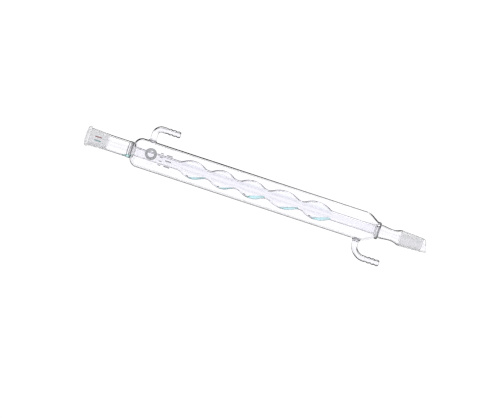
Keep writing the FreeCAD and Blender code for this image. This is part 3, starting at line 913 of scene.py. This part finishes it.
def hose_tip(name, node):
    """Hose end with rounded barbs, thickest at its fire-polished mouth."""
    low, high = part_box(node)
    height = (low.z + high.z) / MM / 2
    start, end = span(node)
    first = start + HOSE_COLLAR
    barb = (end - first) / HOSE_BARBS
    collar_share, collar_fall = 0.3, 0.05
    outside = [(start - WELD, ARM_RADIUS)]
    outside.append((start + HOSE_COLLAR * collar_share, ARM_RADIUS - collar_fall))
    for number in range(HOSE_BARBS):
        for i in range(BARB_STEPS):
            share = i / BARB_STEPS
            swell = (0.5 - 0.5 * math.cos(2 * math.pi * share)) ** BARB_FULLNESS
            radius = VALLEY_RADIUS + (BARB_RADIUS - VALLEY_RADIUS) * swell
            outside.append((first + barb * (number + share), radius))
    outside += [(end - back, VALLEY_RADIUS - fall) for back, fall in MOUTH_LIP]
    bore = [(start - WELD, ARM_BORE)]
    bore += [(end - back, ARM_BORE + flare) for back, flare in MOUTH_FLARE]
    mesh = lathe(outside, bore, ARM_SIDES, still, height)
    finish_piece(name, mesh, node, [THICK, CLEAR])


# ---------------------------------------------------------------- condensate

def bore_arc(x, radius, spread_angle):
    """Points across the bottom of a bore, from one side to the other, spread_angle each way."""
    angles = [spread_angle * (2 * rib / RIBS - 1) for rib in range(RIBS + 1)]
    return [Vector((x, radius * math.sin(angle), -radius * math.cos(angle))) for angle in angles]


def liquid(name, sections, material):
    """A body of liquid through its cross-sections, each of them a closed loop."""
    mesh = bmesh.new()
    rows = [[mesh.verts.new(place * MM) for place in section] for section in sections]
    for here, following in zip(rows, rows[1:]):
        join(mesh, here, following)
    for row in (rows[0], rows[-1]):
        mesh.faces.new(row)
    finish_piece(name, mesh, None, [material])


def crowded_ends(count):
    """Shares of a length, closer together towards both ends, which they leave out."""
    return [0.5 - 0.5 * math.cos(math.pi * i / count) for i in range(1, count)]


def pool(name, radius_at, lip, swell):
    """Liquid that lies level, in the working slope, behind the lip, standing above it by its swell.
    A negative swell leaves the hollow part empty. Returns where the pool starts."""
    slope = math.tan(WORKING_SLOPE)

    def depth(x):
        return slope * (x - lip) + swell + radius_at(x) - radius_at(lip)

    wet = [x for x in (lip - SCAN_STEP * step for step in range(SCAN_STEPS)) if depth(x) > 0]
    left_end, right_end = wet[-1], wet[0]
    if swell > 0:
        right_end = lip + FRONT_LENGTH * PAST_LIP_SHARE
    sections = []
    for share in crowded_ends(POOL_SECTIONS):
        x = left_end + (right_end - left_end) * share
        radius = radius_at(x) + LIQUID_SINK
        front = min(1.0, (right_end - x) / FRONT_LENGTH)
        thick = max(depth(x), LIQUID_THINNEST) * math.sqrt(1 - (1 - front) ** 2) + LIQUID_SINK
        side_angle = math.acos(1 - thick / radius)
        half_width = radius * math.sin(side_angle)
        across = [half_width * (1 - 2 * rib / RIBS) for rib in range(1, RIBS)]
        level = [Vector((x, y, thick - radius)) for y in across]
        sections.append(bore_arc(x, radius, side_angle) + level)
    liquid(name, sections, TEAL)
    return left_end


def drop(name, right_end, length):
    """Domed drop that has stopped on the bottom of the tube, just above a pool. Its near-black colour
    is painted shade.
    """
    sections = []
    for share in crowded_ends(DROP_SECTIONS):
        x = right_end + length * (share - 1)
        radius = tube_bore(x) + LIQUID_SINK
        rise = math.sqrt(1 - (2 * share - 1) ** 2)
        side_angle = math.asin(DROP_HALF_WIDTH * rise / radius)
        dome = []
        for rib in range(1, RIBS):
            across = 1 - 2 * rib / RIBS
            out = radius - (DROP_HEIGHT * rise + LIQUID_SINK) * math.sqrt(1 - across ** 2)
            angle = side_angle * across
            dome.append(Vector((x, out * math.sin(angle), -out * math.cos(angle))))
        sections.append(bore_arc(x, radius, side_angle) + dome)
    liquid(name, sections, SHADED_DROP)


def tube_bore(x):
    return tube_radius(x, TUBE_WALL)


def chamber_bore(x):
    """Bore of the chamber and then of the seal's funnel."""
    bore = CHAMBER_RADIUS - CHAMBER_WALL
    mouth = TUBE_RADIUS - TUBE_WALL
    start, end = CHAMBER_END + SEAL_FLOOR, JACKET_START
    if x <= start:
        return bore
    for place, out in arc_points((start, bore), (end, mouth), FUNNEL_RADIUS, 1, FUNNEL_STEP):
        if place >= x:
            return out
    return mouth


def pools():
    """Liquid stands behind each neck, where the bore's slope equals the working slope."""
    lip_setback = (NECK_ARC + TUBE_WALL) * math.sin(WORKING_SLOPE)
    rows = zip(bulb_starts(), POOL_SWELLS, DROP_LENGTHS)
    for number, ((start, length), swell, drop_length) in enumerate(rows, start=1):
        lip = start + length - lip_setback
        left_end = pool(f"condensate_bulb_{number}", tube_bore, lip, swell)
        if drop_length:
            drop(f"condensate_drop_{number}", left_end + DROP_OVERLAP, drop_length)
    pool("condensate_chamber", chamber_bore, JACKET_START, CHAMBER_SWELL)


# ---------------------------------------------------------------- the condenser

socket()
chamber()
upper_seal()
jacket()
bulb_tube()
lower_seal()
delivery()
cone()
drip_tip()
foot("outlet_foot_glass", "outlet_foot", 1)
foot("inlet_foot_glass", "inlet_foot", -1)
arm("coolant_outlet_arm_glass", "coolant_outlet_arm", "outlet_foot", 1)
arm("coolant_inlet_arm_glass", "coolant_inlet_arm", "inlet_foot", -1)
hose_tip("outlet_hose_tip_glass", "outlet_hose_tip")
hose_tip("inlet_hose_tip_glass", "inlet_hose_tip")
pools()

PRINTS = {
    "jacket_ring_mark": GREY_PRINT,
    "jacket_dash_marks": GREY_PRINT,
    "jacket_bar_marks": GREY_PRINT,
    "socket_bar_marks": SOCKET_PRINT,
}
for node, print_material in PRINTS.items():
    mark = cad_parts[node]
    mark.data.materials.clear()
    mark.data.materials.append(print_material)


# ---------------------------------------------------------------- stage, light and camera

WORLD_STRENGTH = 1.9

# the surround's brightness at elevations in degrees, without the dark panel and with it
HORIZON = ((-14, 0.49), (-10.5, 0.55))
PLAIN = (*HORIZON, (14.5, 0.55), (60, 1.0))
PANELLED = (*HORIZON, (14.0, 0.55), (15.5, 0.01), (36, 0.01), (39, 0.5), (60, 1.0))

# how much of the panel there is, by a direction's part along X
PANEL_SHARE = ((-0.02, 1.0), (0.06, 0.45), (0.10, 0.45), (0.18, 1.0))

# in metres
FLOOR_RADIUS = 3.6
FLOOR_HEIGHT = -0.9
FLOOR_FADE_START = 1.4
FLOOR_FADE_END = 3.0
CAMERA_TARGET = Vector((0.2064, 0.0, -0.0222))
CAMERA_DISTANCE = 1.818
CAMERA_LENS_MM = 113.0
SENSOR_WIDTH_MM = 36.0


def from_minus_one(nodes, links, value):
    """Move a direction's part, which goes from -1 to 1, to the 0 to 1 that a colour ramp takes."""
    ranged = nodes.new("ShaderNodeMapRange")
    ranged.inputs["From Min"].default_value = -1.0
    links.new(value, ranged.inputs["Value"])
    return ranged.outputs["Result"]


def grey_ramp(nodes, links, place, stops):
    """Grey from (direction, value) stops, where a direction goes from -1 to 1."""
    ramp = nodes.new("ShaderNodeValToRGB")
    links.new(place, ramp.inputs["Fac"])
    elements = ramp.color_ramp.elements
    for number, (direction, value) in enumerate(stops):
        position = (direction + 1) / 2
        element = elements[number] if number < 2 else elements.new(position)
        element.position = position
        element.color = (value, value, value, 1)
    return ramp.outputs["Color"]


def at_elevations(stops):
    return [(math.sin(math.radians(elevation)), value) for elevation, value in stops]


def studio():
    """White surround that is brightest overhead. A dark panel hangs above the horizon all round,
    and draws the glass's upper edges. It is paler in directions a little off square to the axis, on
    the cone's side, so the jacket's upper edge fades towards the cone."""
    world = bpy.data.worlds.new("studio")
    bpy.context.scene.world = world
    world.use_nodes = True
    nodes, links = world.node_tree.nodes, world.node_tree.links
    place = nodes.new("ShaderNodeTexCoord")
    split = nodes.new("ShaderNodeSeparateXYZ")
    links.new(place.outputs["Generated"], split.inputs["Vector"])
    height = from_minus_one(nodes, links, split.outputs["Z"])
    along = from_minus_one(nodes, links, split.outputs["X"])
    share = grey_ramp(nodes, links, along, PANEL_SHARE)
    plain = grey_ramp(nodes, links, height, at_elevations(PLAIN))
    panelled = grey_ramp(nodes, links, height, at_elevations(PANELLED))
    background = nodes["Background"]
    background.inputs["Strength"].default_value = WORLD_STRENGTH
    links.new(blended(nodes, links, share, plain, panelled), background.inputs["Color"])


def floor():
    """Pale floor well below the condenser, which hangs in a clamp, fading out into the surround."""
    centre = (Vector(CAD_BOX[0]) + Vector(CAD_BOX[1])) / 2
    mesh = bmesh.new()
    bmesh.ops.create_circle(mesh, cap_ends=True, segments=FLOOR_SIDES, radius=FLOOR_RADIUS)
    data = bpy.data.meshes.new("floor")
    mesh.to_mesh(data)
    mesh.free()
    piece = bpy.data.objects.new("floor", data)
    piece.location = (centre.x, centre.y, FLOOR_HEIGHT)
    bpy.context.scene.collection.objects.link(piece)
    material, nodes, links, shader = new_material("pale_floor")
    shader.inputs["Roughness"].default_value = 0.7
    grain = stretched_noise(nodes, links, EVEN, 3)
    links.new(blended(nodes, links, grain, *FLOOR_TINTS), shader.inputs["Base Color"])
    place = nodes.new("ShaderNodeTexCoord")
    distance = nodes.new("ShaderNodeVectorMath")
    distance.operation = "LENGTH"
    fade = nodes.new("ShaderNodeMapRange")
    fade.interpolation_type = "SMOOTHSTEP"
    fade.inputs["From Min"].default_value = FLOOR_FADE_START
    fade.inputs["From Max"].default_value = FLOOR_FADE_END
    fade.inputs["To Min"].default_value = 1.0
    fade.inputs["To Max"].default_value = 0.0
    links.new(place.outputs["Object"], distance.inputs[0])
    links.new(distance.outputs["Value"], fade.inputs["Value"])
    links.new(fade.outputs["Result"], shader.inputs["Alpha"])
    data.materials.append(material)


def camera():
    """Level with the condenser, square to the plane of its arms and rolled by its working slope."""
    right = Vector((math.cos(WORKING_SLOPE), 0, math.sin(WORKING_SLOPE)))
    up = Vector((-math.sin(WORKING_SLOPE), 0, math.cos(WORKING_SLOPE)))
    back = Vector((0, -1, 0))
    data = bpy.data.cameras.new("camera")
    data.lens = CAMERA_LENS_MM
    data.sensor_width = SENSOR_WIDTH_MM
    data.clip_end = 50.0
    piece = bpy.data.objects.new("camera", data)
    turn = Matrix((right, up, back)).transposed().to_4x4()
    piece.matrix_world = Matrix.Translation(CAMERA_TARGET + back * CAMERA_DISTANCE) @ turn
    bpy.context.scene.collection.objects.link(piece)
    bpy.context.scene.camera = piece


studio()
floor()
camera()

# light passes through up to a dozen glass surfaces, and is bent and reflected at each
scene = bpy.context.scene
scene.view_settings.view_transform = "Standard"
scene.cycles.max_bounces = 32
scene.cycles.transmission_bounces = 32
scene.cycles.glossy_bounces = 12
scene.cycles.filter_width = 1.3
